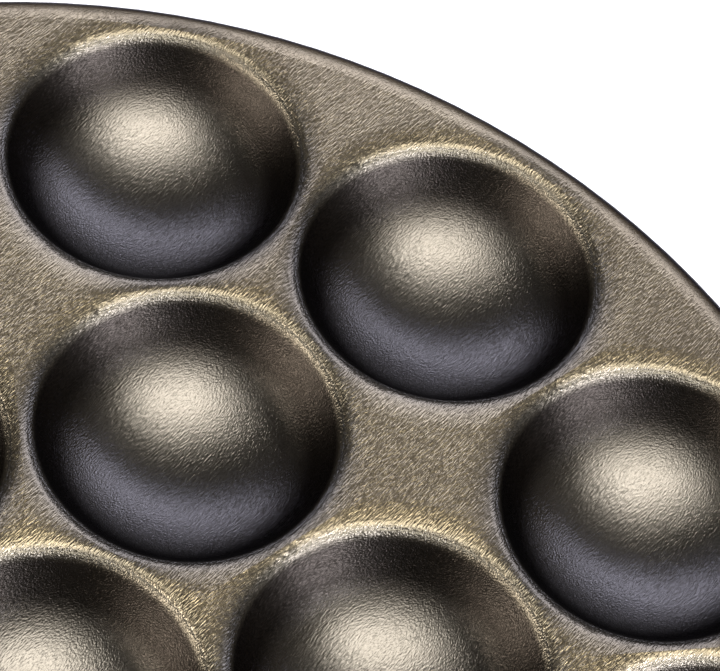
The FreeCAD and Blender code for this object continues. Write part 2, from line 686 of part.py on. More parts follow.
def bottom_cover():
    """Disc that closes the base from below, with a ring of cooling slots and a stiffening bead."""
    radius = shell_radius(FOOT_HEIGHT) - SHELL_WALL - COVER_GAP
    bead = POST_RING - POST_RADIUS - 4
    disc = turned((0, FOOT_HEIGHT), (radius, FOOT_HEIGHT), (radius, COVER_TOP), (bead, COVER_TOP),
                  (bead - 1, COVER_TOP + 3), (bead - 3, COVER_TOP + 3), (bead - 4, COVER_TOP), (0, COVER_TOP))
    holes = [rod(M4_RADIUS + HOLE_CLEARANCE, p, p + Z * 2 * COVER_THICKNESS) for p in post_points(FOOT_HEIGHT - 1)]
    return disc.cut(holes + cover_slots())


def rubber_feet():
    """Tapered feet, hollow below for their screws."""
    low = FOOT_RADIUS - FOOT_TAPER
    skew = FOOT_ROUND * (1 - math.sqrt(0.5))
    foot = turned((M4_RADIUS + HOLE_CLEARANCE, FOOT_BORE_DEPTH), (FOOT_BORE_RADIUS, FOOT_BORE_DEPTH), (FOOT_BORE_RADIUS, 0),
                  (low - FOOT_ROUND, 0), ((low - skew, skew), (low, FOOT_ROUND)),
                  (FOOT_RADIUS, FOOT_HEIGHT), (M4_RADIUS + HOLE_CLEARANCE, FOOT_HEIGHT))
    return group(foot.translated(p) for p in post_points(0))


def foot_screws():
    """Screws that hold feet, cover and shell together."""
    return group(m4(p, p + Z * (COVER_TOP - FOOT_BORE_DEPTH + THREAD_GRIP)) for p in post_points(FOOT_BORE_DEPTH))


def control_panel():
    """Facing plate let into the pod, with holes for the shaft and both lamps."""
    middle = Vector(0, 0, CONTROL_Z)
    margin = PANEL_MARGIN + PANEL_CLEARANCE
    half = Vector(POD_WIDTH / 2 - margin, 0, POD_HEIGHT / 2 - margin)
    plate = block(middle - half - Y * POD_FACE, middle + half - Y * (POD_FACE - PANEL_THICKNESS),
                  POD_CORNER - margin, Y)
    holes = [rod(1.5 * SHAFT_RADIUS, middle - Y * (POD_FACE + 1), middle - Y * POD_INSIDE)]
    holes += [rod(LENS_RADIUS + LENS_CLEARANCE, middle + Vector(x, -POD_FACE - 1, 0),
                  middle + Vector(x, -POD_INSIDE, 0)) for x in (-LAMP_OFFSET, LAMP_OFFSET)]
    return plate.cut(holes)


def to_control(shape, y):
    """Turns a shape made along Z to point out of the panel, its Z = 0 at a distance from the middle."""
    turned_shape = shape.rotated(Vector(), X, 90)
    return turned_shape.translated(Vector(0, -y, CONTROL_Z))


def d_section(radius, flat, length):
    """Round bar with one flat along it, from Z = 0 up."""
    bar = rod(radius, Vector(), Z * length)
    return bar.cut(block(Vector(-radius, radius - flat, -1), Vector(radius, 2 * radius, length + 1)))


def temperature_knob():
    """Fluted knob with a domed face, a bore with a flat and a groove for its pointer."""
    base = KNOB_HEIGHT * 0.25
    top = KNOB_RADIUS - 1.5
    body = turned((0, 0), (KNOB_RADIUS, 0), (KNOB_RADIUS, base), (KNOB_RADIUS - 0.8, base + 0.8),
                  (top, KNOB_HEIGHT - 2.2), ((top - 0.7, KNOB_HEIGHT - 0.9), (top - 2.2, KNOB_HEIGHT - 0.4)),
                  dome(top - 2.2, KNOB_HEIGHT - 0.4, KNOB_HEIGHT))
    flute_ring = KNOB_RADIUS + FLUTE_RADIUS - FLUTE_DEPTH - 0.8
    cuts = [rod(FLUTE_RADIUS, polar(flute_ring, a, base + 2), polar(flute_ring, a, KNOB_HEIGHT + 1))
            for a in spaced(KNOB_FLUTES, 180.0 / KNOB_FLUTES)]
    fit = SHAFT_CLEARANCE
    cuts.append(d_section(SHAFT_RADIUS + fit, SHAFT_FLAT, shaft_in_knob() + fit))
    cuts.append(pointer_block(0.05, 1.0))
    return to_control(body.cut(cuts), KNOB_FACE - KNOB_HEIGHT)


def shaft_in_knob():
    return KNOB_HEIGHT - 4.0


def pointer_block(fit, over):
    """Bar across the upper half of the knob's face."""
    half = POINTER_WIDTH / 2 + fit
    return block(Vector(-half, 4 - fit, KNOB_HEIGHT - 0.4 - POINTER_DEPTH - fit),
                 Vector(half, KNOB_RADIUS - 3.6 + fit, KNOB_HEIGHT - 0.4 + over))


def knob_pointer():
    return to_control(pointer_block(0.0, 0.35), KNOB_FACE - KNOB_HEIGHT)


def thermostat_shaft():
    """Shaft with a flat for the knob, running in the thermostat's bush."""
    inside = KNOB_FACE - KNOB_HEIGHT - (POD_INSIDE - STAT_PLATE - 6)
    grip = shaft_in_knob()
    bar = rod(SHAFT_RADIUS, Vector(), Z * inside)
    shaped = d_section(SHAFT_RADIUS, SHAFT_FLAT + SHAFT_CLEARANCE, grip).translated(Z * inside)
    return to_control(bar.fuse(shaped).removeSplitter(), KNOB_FACE - KNOB_HEIGHT - inside)


def thermostat_body():
    """Switch block with its mounting plate and the bore in which the shaft turns."""
    front = -POD_INSIDE
    middle = Vector(0, 0, CONTROL_Z)
    half = Vector(STAT_WIDTH / 2, 0, STAT_HEIGHT / 2)
    wide = half + Vector(STAT_EAR, 0, 1)
    plate = block(middle - wide + Y * front, middle + wide + Y * (front + STAT_PLATE), 3, Y)
    body = block(middle - half + Y * (front + STAT_PLATE), middle + half - Y * STAT_BACK, 2, Y)
    cuts = [rod(SHAFT_RADIUS + SHAFT_CLEARANCE, middle + Y * (front - 1), middle + Y * (front + STAT_PLATE + 6.5))]
    cuts += [rod(M3_RADIUS + SCREW_CLEARANCE, middle + Vector(x, front - 1, 0), middle + Vector(x, front + 9, 0))
             for x in (-STAT_SCREW_OFFSET, STAT_SCREW_OFFSET)]
    cuts += [tab_slot(x, 0.0, 4.0) for x in (-STAT_WIDTH / 3, STAT_WIDTH / 3)]
    cuts.append(rod(CAPILLARY_RADIUS + 0.05, middle + Vector(0, -STAT_BACK - 4, 0), middle - Y * (STAT_BACK - 1)))
    return plate.fuse(body).cut(cuts).removeSplitter()


def tab_slot(x, out, inside):
    """Flat tab across the thermostat's back face, from a depth inside it to a distance outside."""
    at = Vector(x, -STAT_BACK, CONTROL_Z - STAT_HEIGHT / 4)
    return block(at + Vector(-TAB_THICKNESS / 2, -inside, -TAB_WIDTH / 2),
                 at + Vector(TAB_THICKNESS / 2, out, TAB_WIDTH / 2))


def thermostat_terminals():
    return group(tab_slot(x, TAB_LENGTH, 4.0) for x in (-STAT_WIDTH / 3, STAT_WIDTH / 3))


def thermostat_screws():
    """Screws under the panel that hold the thermostat to the pod."""
    seat = -POD_INSIDE - 0.7
    return group(m3(Vector(x, seat, CONTROL_Z), Vector(x, seat + 8, CONTROL_Z))
                 for x in (-STAT_SCREW_OFFSET, STAT_SCREW_OFFSET))


def thermostat_bulb():
    """Liquid-filled bulb that lies against the bottoms of the middle cup and the front cup."""
    z = CUP_BOTTOM - BULB_RADIUS
    ends = Vector(0, CUP_PITCH * 0.12, z), Vector(0, -CUP_PITCH * 1.12, z)
    bulb = rod(BULB_RADIUS, *ends)
    return bulb.makeFillet(BULB_RADIUS * 0.45, [e for e in bulb.Edges if e.Closed])


def capillary_tube():
    """Thin tube from the bulb through the heat shield to the thermostat's back."""
    drop = capillary_drop()
    start = Vector(0, -CUP_PITCH * 1.12, drop.z)
    low = Vector(0, drop.y, CONTROL_Z)
    end = Vector(0, -STAT_BACK - 3.5, CONTROL_Z)
    return run(CAPILLARY_RADIUS, CAPILLARY_BEND, start, drop, low, end)


def sensor_clip(side, radius):
    """Sheet strap between two bosses that presses a round sensor up against the cups."""
    t = CLIP_THICKNESS
    centre = CUP_BOTTOM - radius
    r_in = radius + SPRING_FIT
    r_out = r_in + t
    ear = SENSOR_X + SENSOR_BOSS_RADIUS
    ears = block(Vector(-ear, 0, CUP_BOTTOM - t), Vector(ear, CLIP_WIDTH, CUP_BOTTOM), 2.0)
    saddle = rod(r_out, Vector(0, 0, centre), Vector(0, CLIP_WIDTH, centre))
    saddle = saddle.fuse(block(Vector(-r_out, 0, centre), Vector(r_out, CLIP_WIDTH, CUP_BOTTOM)))
    room = rod(r_in, Vector(0, -1, centre), Vector(0, CLIP_WIDTH + 1, centre))
    room = room.fuse(block(Vector(-r_in, -1, centre), Vector(r_in, CLIP_WIDTH + 1, CUP_BOTTOM + 1)))
    strap = ears.fuse(saddle).cut(room).translated(Y * (side * SENSOR_Y - CLIP_WIDTH / 2))
    holes = [rod(M3_RADIUS + HOLE_CLEARANCE, p, p + Z * 4 * t) for p in sensor_points(CUP_BOTTOM - 2 * t)]
    return strap.cut(holes).removeSplitter()


def clip_screws():
    return group(m3(p, p + Z * (CLIP_THICKNESS + THREAD_GRIP)) for p in sensor_points(CUP_BOTTOM - CLIP_THICKNESS))


def thermal_fuse():
    """Fuse in its sleeve, with a lead out of each end."""
    z = CUP_BOTTOM - FUSE_RADIUS
    a, b = (Vector(0, SENSOR_Y + end * FUSE_LENGTH / 2, z) for end in (-1, 1))
    body = rod(FUSE_RADIUS, a, b)
    body = body.makeFillet(FUSE_RADIUS * 0.3, [e for e in body.Edges if e.Closed])
    lead = rod(FUSE_LEAD_RADIUS, a - Y * FUSE_LEAD_LENGTH, b + Y * FUSE_LEAD_LENGTH)
    return body.fuse(lead).removeSplitter()


def lamp_lens(x):
    """Domed lens with a hollow barrel through panel and pod."""
    bore = LENS_RADIUS - LENS_WALL
    lens = turned((0, -1), (bore, -1), (bore, -LENS_LENGTH), (LENS_RADIUS, -LENS_LENGTH), (LENS_RADIUS, 0),
                  (LENS_HEAD_RADIUS, 0), (LENS_HEAD_RADIUS, 0.6), dome(LENS_HEAD_RADIUS, 0.6, LENS_HEAD_HEIGHT))
    return to_control(lens, POD_FACE).translated(X * x)


def lamp_clips():
    """Push-on rings that hold the lenses behind the pod's wall."""
    ring = tube(LENS_CLIP_RADIUS, LENS_RADIUS + SPRING_FIT, Z * (-LENS_CLIP_THICKNESS), Vector())
    return group(to_control(ring, POD_INSIDE).translated(X * x) for x in (-LAMP_OFFSET, LAMP_OFFSET))


def neon_lamps():
    """Glow lamps inside the lens barrels, each with two leads."""
    lamp = rod(NEON_RADIUS, Z * (-NEON_LENGTH - NEON_SETBACK), Z * -NEON_SETBACK)
    lamp = lamp.makeFillet(NEON_RADIUS * 0.5, [e for e in lamp.Edges if e.Closed])
    for x in (-NEON_LEAD_OFFSET, NEON_LEAD_OFFSET):
        end = Vector(x, 0, -NEON_LENGTH)
        lamp = lamp.fuse(rod(NEON_LEAD_RADIUS, end - Z * NEON_LEAD_LENGTH, end))
    return group(to_control(lamp.removeSplitter(), POD_FACE).translated(X * x) for x in (-LAMP_OFFSET, LAMP_OFFSET))


def handle(side):
    """Bar bent to a U, its legs set on the shell's pads with blind screw holes."""
    out = HANDLE_REACH - HANDLE_WIDTH / 2
    turn = HANDLE_BEND
    y = HANDLE_SPREAD
    skew = turn * (1 - math.sqrt(0.5))
    a, b = Vector(PAD_REACH, -y, 0), Vector(out - turn, -y, 0)
    c, d = Vector(out, turn - y, 0), Vector(out, y - turn, 0)
    e, f = Vector(out - turn, y, 0), Vector(PAD_REACH, y, 0)
    low_bend = Part.Arc(b, Vector(out - skew, skew - y, 0), c).toShape()
    high_bend = Part.Arc(d, Vector(out - skew, y - skew, 0), e).toShape()
    path = Part.Wire([Part.makeLine(a, b), low_bend, Part.makeLine(c, d), high_bend, Part.makeLine(e, f)])
    half = Vector(0, HANDLE_WIDTH / 2, HANDLE_THICKNESS / 2)
    end = block(a - half, a + half + X, HANDLE_ROUND, X)
    section = [g for g in end.Faces if abs(g.CenterOfMass.x - PAD_REACH) < 1e-6][0].OuterWire
    bar = path.makePipeShell([section], True, False)
    bar = bar.cut([rod(M4_RADIUS + SCREW_CLEARANCE, p - X, p + X * (THREAD_GRIP + 2)) for p in (a, f)])
    if side < 0:
        bar = to_back(bar)
    return bar.translated(Z * HANDLE_Z)


def handle_screws():
    """Screws from inside the shell into the handle legs."""
    return group(m4(p, q) for p, q in zip(handle_points(PAD_REACH - PAD_BOSS_LENGTH),
                                          handle_points(PAD_REACH + THREAD_GRIP)))


def blade_points(y):
    """Places of the earth blade and the two line blades in the inlet."""
    return [Vector(0, y, CONTROL_Z + BLADE_RISE), Vector(-BLADE_OFFSET, y, CONTROL_Z - BLADE_RISE),
            Vector(BLADE_OFFSET, y, CONTROL_Z - BLADE_RISE)]


def blades(fit, start, end):
    half = Vector(BLADE_THICKNESS / 2 + fit, 0, BLADE_WIDTH / 2 + fit)
    return [block(p - half, q + half) for p, q in zip(blade_points(start), blade_points(end))]


def inlet_body():
    """Appliance inlet: flange, shroud with two cut corners, and floor that carries the blades."""
    face = INLET_REACH + INLET_FLANGE
    middle = Vector(0, 0, CONTROL_Z)
    half = Vector(INLET_WIDTH / 2, 0, INLET_HEIGHT / 2)
    wide = Vector(INLET_FLANGE_WIDTH / 2, 0, INLET_FLANGE_HEIGHT / 2)
    inner = half - Vector(INLET_WALL, 0, INLET_WALL)
    flange = block(middle - wide + Y * INLET_REACH, middle + wide + Y * face, INLET_FLANGE_CORNER, Y)
    body = block(middle - half + Y * (face - INLET_LENGTH), middle + half + Y * face)
    room = block(middle - inner + Y * (face - INLET_LENGTH + INLET_FLOOR), middle + inner + Y * (face + 1))
    corners = [e for e in room.Edges if abs(e.tangentAt(0).y) > 0.9 and e.CenterOfMass.z > CONTROL_Z]
    cuts = [room.makeChamfer(INLET_CHAMFER, corners)]
    cuts += blades(BLADE_FIT, face - INLET_LENGTH - 1, face)
    cuts += [rod(M3_RADIUS + HOLE_CLEARANCE, middle + Vector(x, INLET_REACH - 1, 0), middle + Vector(x, face + 1, 0))
             for x in (-INLET_SCREW_OFFSET, INLET_SCREW_OFFSET)]
    return flange.fuse(body).cut(cuts).removeSplitter()


def inlet_pins():
    face = INLET_REACH + INLET_FLANGE
    return group(blades(0.0, face - INLET_LENGTH - TAB_LENGTH, face - BLADE_SETBACK))


def inlet_screws():
    seat = INLET_REACH + INLET_FLANGE
    return group(m3(Vector(x, seat, CONTROL_Z), Vector(x, seat - THREAD_GRIP, CONTROL_Z))
                 for x in (-INLET_SCREW_OFFSET, INLET_SCREW_OFFSET))


NODES = {
    "baking_plate": baking_plate(),
    "heating_element": heating_element(),
    "element_beads": element_beads(),
    "element_pins": element_pins(),
    "heat_shield": heat_shield(),
    "shield_screws": shield_screws(),
    "plate_spacers": plate_spacers(),
    "plate_screws": plate_screws(),
    "base_shell": base_shell(),
    "bottom_cover": bottom_cover(),
    "rubber_feet": rubber_feet(),
    "foot_screws": foot_screws(),
    "control_panel": control_panel(),
    "temperature_knob": temperature_knob(),
    "knob_pointer": knob_pointer(),
    "thermostat_shaft": thermostat_shaft(),
    "thermostat_body": thermostat_body(),
    "thermostat_terminals": thermostat_terminals(),
    "thermostat_screws": thermostat_screws(),
    "thermostat_bulb": thermostat_bulb(),
    "capillary_tube": capillary_tube(),
    "bulb_clip": sensor_clip(-1, BULB_RADIUS),
    "fuse_clip": sensor_clip(1, FUSE_RADIUS),
    "clip_screws": clip_screws(),
    "thermal_fuse": thermal_fuse(),
    "power_lamp_lens": lamp_lens(-LAMP_OFFSET),
    "ready_lamp_lens": lamp_lens(LAMP_OFFSET),
    "lamp_clips": lamp_clips(),
    "neon_lamps": neon_lamps(),
    "left_handle": handle(-1),
    "right_handle": handle(1),
    "handle_screws": handle_screws(),
    "inlet_body": inlet_body(),
    "inlet_pins": inlet_pins(),
    "inlet_screws": inlet_screws(),
}

os.makedirs("parts", exist_ok=True)
for name, shape in NODES.items():
    shape.exportStep("parts/" + name + ".step")
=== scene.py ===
import json
import math

import bpy
import numpy as np
from mathutils import Matrix, Vector


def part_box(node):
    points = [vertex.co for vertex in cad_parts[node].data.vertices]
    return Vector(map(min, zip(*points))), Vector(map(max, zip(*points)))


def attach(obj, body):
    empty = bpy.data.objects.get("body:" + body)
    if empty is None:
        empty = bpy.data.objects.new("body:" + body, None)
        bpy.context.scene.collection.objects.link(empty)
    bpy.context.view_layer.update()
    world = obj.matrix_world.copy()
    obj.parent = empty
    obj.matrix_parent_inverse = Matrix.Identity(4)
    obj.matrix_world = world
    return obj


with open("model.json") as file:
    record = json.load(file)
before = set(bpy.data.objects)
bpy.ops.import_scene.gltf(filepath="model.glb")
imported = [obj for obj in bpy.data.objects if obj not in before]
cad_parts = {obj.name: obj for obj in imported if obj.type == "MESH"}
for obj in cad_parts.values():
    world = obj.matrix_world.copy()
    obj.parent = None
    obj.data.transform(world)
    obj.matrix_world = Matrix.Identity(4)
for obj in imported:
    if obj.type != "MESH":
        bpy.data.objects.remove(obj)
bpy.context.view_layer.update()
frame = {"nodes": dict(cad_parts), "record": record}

MM = 0.001

# Places from the frame, in mm: the plate's top, the panel's face and the middle of the panel's height
panel_low, panel_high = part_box("control_panel")
PLATE_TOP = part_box("baking_plate")[1][2] / MM
PANEL_FACE = panel_low[1] / MM
DIAL_HEIGHT = (panel_low[2] + panel_high[2]) / 2 / MM

# Coating of the plate: its wrinkles, grain, flakes and clouds, with sizes in mm and a turn in degrees
WRINKLE_TURN = 74.0
WRINKLE_LENGTH = 1.25
WRINKLE_WIDTH = 0.24
WRINKLE_RELIEF = 0.16
GRAIN_SIZE = 0.25
GRAIN_RELIEF = 0.012
FLAKE_SIZE = 0.2
CLOUD_SIZE = 35.0

# What a flake adds to a cloud and to the roughness, and the sums that give the darkest and lightest tone
FLAKE_TONE = 0.5
FLAKE_ROUGH = 0.08
TONE_SPAN = (0.35, 1.1)

# Depths in mm under the top over which a cup's bottom turns into its wall and the wall into the flat,
# and the tones, roughness and share of wrinkles of each; the wall and lip tones are painted shade
# and the flat top's tones are painted light, brighter than the cups' own bronze
WALL_DEPTH = (14.5, 7.0)
FLAT_DEPTH = (2.4, 0.1)
CUP_TONES = ("605b53", "787269")
WALL_PAINTED_SHADE_TONES = ("211e1b", "2d2925")
LIP_PAINTED_SHADE_TONES = ("544f45", "6b6559")
FLAT_PAINTED_LIGHT_TONES = ("8b7c60", "b09f7b")
CUP_ROUGH = 0.3
FLAT_ROUGH = 0.29
CUP_WRINKLE = 0.6
GRAZING_TINT = (0.35, 0.35, 0.37, 1)

# Rings of cups: radius in mm, number of cups and direction of the first one in degrees;
# neighbours in the outer ring are as far apart as those in the inner one
CUP_SPACING = 58.0
CUP_RINGS = ((CUP_SPACING, 6, 90.0), (CUP_SPACING / 2 / math.sin(math.pi / 12), 12, 105.0))

# Soft lips of the cups, whose tone is painted shade, and the outer edge of the plate, darker by painted
# shade, in mm
CUP_MOUTH = 27.5
LIP_WIDTH = 6.0
LIP_FALL = 0.95
LIP_BLEND = 5.0
EDGE_START = (141.0, 146.0)

# Dial round the knob, in mm; angles in degrees clockwise from the top as the user sees it
DIAL_RADIUS = 18.9
DIAL_START = 0.0
DIAL_RANGE = 270.0
DIAL_STEPS = 5
NUMBER_HEIGHT = 2.6
LETTER_SHARE = 0.72
LETTER_STEPS = 4
DOT_RADIUS = 0.35
DOT_CORNERS = 24
PRINT_THICKNESS = 0.12
PRINT_GAP = 0.003
PRINT_BACK = PANEL_FACE - PRINT_GAP

# Table in mm: half its width, its gap under the feet, and where its own glow sets in and is full
TABLE_HALF = 15000.0
TABLE_GAP = 0.2
TABLE_GLOW = (0.1, 1.0)
TABLE_GLOW_FROM = (600.0, 2200.0)

# Camera, as the photograph was taken: place, lens, film and depth of view in mm, turns in degrees
CAMERA_PLACE = (96.5, -247.4, 602.0)
CAMERA_TURN = 12.82
CAMERA_TILT = 56.33
CAMERA_ROLL = 11.38
CAMERA_LENS = 175.0
FILM_WIDTH = 36.0
VIEW_DEPTH = (10.0, 100000.0)

# Light: the point in mm that the lamps face, how far the key lamp stands above the camera's line
# in radians, and the dim light of the room
LIT_POINT = (60.0, 60.0, PLATE_TOP)
KEY_RISE = 0.17
ROOM_LIGHT = (0.03, 0.03, 0.033, 1)


def linear(code):
    """Linear colour with alpha from an sRGB hex code."""
    channels = [int(code[i:i + 2], 16) / 255 for i in (0, 2, 4)]
    return [c / 12.92 if c <= 0.04045 else ((c + 0.055) / 1.055) ** 2.4 for c in channels] + [1.0]


def add(nodes, kind, values=None, wires=None, **settings):
    """One shader node: settings are its switches, values and wires go to its sockets."""
    node = nodes.new("ShaderNode" + kind)
    for key, value in settings.items():
        setattr(node, key, value)
    for key, value in (values or {}).items():
        node.inputs[key].default_value = value
    for key, socket in (wires or {}).items():
        nodes.id_data.links.new(socket, node.inputs[key])
    return node


def empty_material(name):
    """Material with no nodes yet, and its node list."""
    material = bpy.data.materials.new(name)
    material.use_nodes = True
    nodes = material.node_tree.nodes
    nodes.clear()
    return material, nodes


def finish(name, colour, shade, patch, grain, rough, relief, stretch=(1, 1, 1), **sockets):
    """A finish for one material.

    Its colour drifts between two tones over patches; grain moves its roughness, its tone and its relief.
    patch and grain are sizes in mm, rough is the lowest and highest roughness, relief is a height in mm,
    and stretch draws the grain out along an axis.
    """
    material, nodes = empty_material(name)
    place = add(nodes, "TexCoord").outputs["Object"]
    drawn = add(nodes, "Mapping", {"Scale": [1 / s for s in stretch]}, {"Vector": place}).outputs[0]
    drift = add(nodes, "TexNoise", {"Scale": 1 / (patch * MM), "Detail": 3.0}, {"Vector": place}).outputs[0]
    fine = add(nodes, "TexNoise", {"Scale": 1 / (grain * MM), "Detail": 4.0}, {"Vector": drawn}).outputs[0]
    both = add(nodes, "Math", {}, {0: drift, 1: fine}, operation="ADD").outputs[0]
    share = add(nodes, "MapRange", {"From Min": 0.7, "From Max": 1.3}, {"Value": both}).outputs[0]
    tones = {6: linear(colour), 7: linear(shade)}
    tone = add(nodes, "Mix", tones, {0: share}, data_type="RGBA").outputs[2]
    span = {"From Min": 0.3, "From Max": 0.7, "To Min": rough[0], "To Max": rough[1]}
    polish = add(nodes, "MapRange", span, {"Value": fine}).outputs[0]
    bump = add(nodes, "Bump", {"Strength": 1.0, "Distance": relief * MM}, {"Height": fine}).outputs[0]
    values = {key.replace("_", " "): value for key, value in sockets.items()}
    wires = {"Base Color": tone, "Roughness": polish, "Normal": bump}
    shader = add(nodes, "BsdfPrincipled", values, wires)
    add(nodes, "OutputMaterial", {}, {"Surface": shader.outputs[0]})
    return material


def nearest_cup(nodes, place, away):
    """Distance in plan to the nearest cup's middle: each ring is folded into a sector with one cup."""
    split = add(nodes, "SeparateXYZ", {}, {0: place}).outputs
    turn = add(nodes, "Math", {}, {0: split[1], 1: split[0]}, operation="ARCTAN2").outputs[0]
    nearest = away
    for radius, count, first in CUP_RINGS:
        half = math.pi / count
        start = math.radians(first)
        from_first = add(nodes, "Math", {1: start}, {0: turn}, operation="SUBTRACT").outputs[0]
        folded = add(nodes, "Math", {1: half, 2: -half}, {0: from_first}, operation="WRAP").outputs[0]
        cosine = add(nodes, "Math", {}, {0: folded}, operation="COSINE").outputs[0]
        sine = add(nodes, "Math", {}, {0: folded}, operation="SINE").outputs[0]
        outward = add(nodes, "Math", {2: -radius * MM}, {0: away, 1: cosine},
                      operation="MULTIPLY_ADD").outputs[0]
        sideways = add(nodes, "Math", {}, {0: away, 1: sine}, operation="MULTIPLY").outputs[0]
        offset = add(nodes, "CombineXYZ", {}, {0: outward, 1: sideways}).outputs[0]
        distance = add(nodes, "VectorMath", {}, {0: offset}, operation="LENGTH").outputs["Value"]
        nearest = add(nodes, "Math", {2: LIP_BLEND * MM}, {0: nearest, 1: distance},
                      operation="SMOOTH_MIN").outputs[0]
    return nearest


def bronze_coating():
    """Metallic non-stick coating: fine wrinkles that run one way, and a glitter of metal flakes.

    The flat top is painted brighter, as painted light, and is more wrinkled than the cups;
    the cups' walls are painted dark, as painted shade, and the top rolls softly over into the cups
    and the outer edge, where the lips and the edge are painted darker, also as painted shade.
    """
    material, nodes = empty_material("bronze_nonstick_coating")
    place = add(nodes, "TexCoord").outputs["Object"]

    # Where on the plate: flat top, cup wall, lip or outer edge
    height = add(nodes, "SeparateXYZ", {}, {0: place}).outputs[2]
    span = {"From Min": (PLATE_TOP - FLAT_DEPTH[0]) * MM, "From Max": (PLATE_TOP - FLAT_DEPTH[1]) * MM}
    top = add(nodes, "MapRange", span, {"Value": height}, interpolation_type="SMOOTHSTEP").outputs[0]
    span = {"From Min": (PLATE_TOP - WALL_DEPTH[0]) * MM, "From Max": (PLATE_TOP - WALL_DEPTH[1]) * MM}
    wall = add(nodes, "MapRange", span, {"Value": height}, interpolation_type="SMOOTHSTEP").outputs[0]
    plan = add(nodes, "Mapping", {"Scale": (1, 1, 0)}, {"Vector": place}).outputs[0]
    away = add(nodes, "VectorMath", {}, {0: plan}, operation="LENGTH").outputs["Value"]
    # The outer edge is painted dark as painted shade: beyond these radii it takes the walls' tone, not the
    # flat top's
    span = {"From Min": EDGE_START[0] * MM, "From Max": EDGE_START[1] * MM, "To Min": 1.0, "To Max": 0.0}
    inside = add(nodes, "MapRange", span, {"Value": away}).outputs[0]
    reach = nearest_cup(nodes, place, away)
    lip_end = CUP_MOUTH + LIP_WIDTH
    span = {"From Min": CUP_MOUTH * MM, "From Max": lip_end * MM, "To Min": 1.0, "To Max": 0.0}
    near = add(nodes, "MapRange", span, {"Value": reach}).outputs[0]
    fall = add(nodes, "Math", {1: 2.0}, {0: near}, operation="POWER").outputs[0]
    flat = add(nodes, "Math", {}, {0: top, 1: inside}, operation="MULTIPLY").outputs[0]

    # Tones, moved by flakes and clouds; the wall and lip tones are painted shade and the flat top's tone is
    # painted light
    flake = add(nodes, "TexVoronoi", {"Scale": 1 / (FLAKE_SIZE * MM)}, {"Vector": place})
    glint = add(nodes, "SeparateColor", {}, {0: flake.outputs["Color"]}).outputs[0]
    clouds = {"Scale": 1 / (CLOUD_SIZE * MM), "Detail": 3.0}
    cloud = add(nodes, "TexNoise", clouds, {"Vector": place}).outputs[0]
    both = add(nodes, "Math", {1: FLAKE_TONE}, {0: glint, 2: cloud}, operation="MULTIPLY_ADD").outputs[0]
    span = {"From Min": TONE_SPAN[0], "From Max": TONE_SPAN[1]}
    share = add(nodes, "MapRange", span, {"Value": both}).outputs[0]
    cup_tone, wall_painted_shade, lip_painted_shade, flat_painted_light = (
        add(nodes, "Mix", {6: linear(dark), 7: linear(light)}, {0: share}, data_type="RGBA").outputs[2]
        for dark, light in (CUP_TONES, WALL_PAINTED_SHADE_TONES, LIP_PAINTED_SHADE_TONES, FLAT_PAINTED_LIGHT_TONES))
    # Painted shade: the upper cup walls and the outer edge take the dark wall tone instead of the cups' own
    # bronze
    hollow = add(nodes, "Mix", {}, {0: wall, 6: cup_tone, 7: wall_painted_shade}, data_type="RGBA").outputs[2]
    # Painted shade on the lips, darkening the flat top's tone toward the cups
    rolled = add(nodes, "Mix", {}, {0: fall, 6: flat_painted_light, 7: lip_painted_shade}, data_type="RGBA").outputs[2]
    # Painted light on the flat top, whose tone is brighter than that of the cups
    tone = add(nodes, "Mix", {}, {0: flat, 6: hollow, 7: rolled}, data_type="RGBA").outputs[2]
    span = {"To Min": CUP_ROUGH, "To Max": FLAT_ROUGH}
    smooth = add(nodes, "MapRange", span, {"Value": flat}).outputs[0]
    polish = add(nodes, "Math", {1: FLAKE_ROUGH}, {0: glint, 2: smooth},
                 operation="MULTIPLY_ADD").outputs[0]

    # Relief: the lip's roll, then the wrinkles, then the grain
    lip = add(nodes, "Bump", {"Strength": 1.0, "Distance": LIP_FALL * MM}, {"Height": fall},
              invert=True).outputs[0]
    turned = add(nodes, "Mapping", {"Rotation": (0, 0, math.radians(-WRINKLE_TURN))},
                 {"Vector": place}).outputs[0]
    lengths = [1 / (WRINKLE_LENGTH * MM), 1 / (WRINKLE_WIDTH * MM), 1 / (WRINKLE_WIDTH * MM)]
    drawn = add(nodes, "Mapping", {"Scale": lengths}, {"Vector": turned}).outputs[0]
    waves = {"Scale": 1.0, "Detail": 0.6, "Roughness": 0.4, "Distortion": 0.3}
    wrinkle = add(nodes, "TexNoise", waves, {"Vector": drawn}).outputs[0]
    depth = add(nodes, "MapRange", {"To Min": CUP_WRINKLE, "To Max": 1.0}, {"Value": flat}).outputs[0]
    raised = add(nodes, "Math", {}, {0: wrinkle, 1: depth}, operation="MULTIPLY").outputs[0]
    wrinkled = add(nodes, "Bump", {"Strength": 1.0, "Distance": WRINKLE_RELIEF * MM},
                   {"Height": raised, "Normal": lip}).outputs[0]
    grains = {"Scale": 1 / (GRAIN_SIZE * MM), "Detail": 2.0}
    grain = add(nodes, "TexNoise", grains, {"Vector": place}).outputs[0]
    bump = add(nodes, "Bump", {"Strength": 1.0, "Distance": GRAIN_RELIEF * MM},
               {"Height": grain, "Normal": wrinkled}).outputs[0]

    shader = add(nodes, "BsdfPrincipled", {"Metallic": 1.0, "Specular Tint": GRAZING_TINT},
                 {"Base Color": tone, "Roughness": polish, "Normal": bump})
    add(nodes, "OutputMaterial", {}, {"Surface": shader.outputs[0]})
    return material


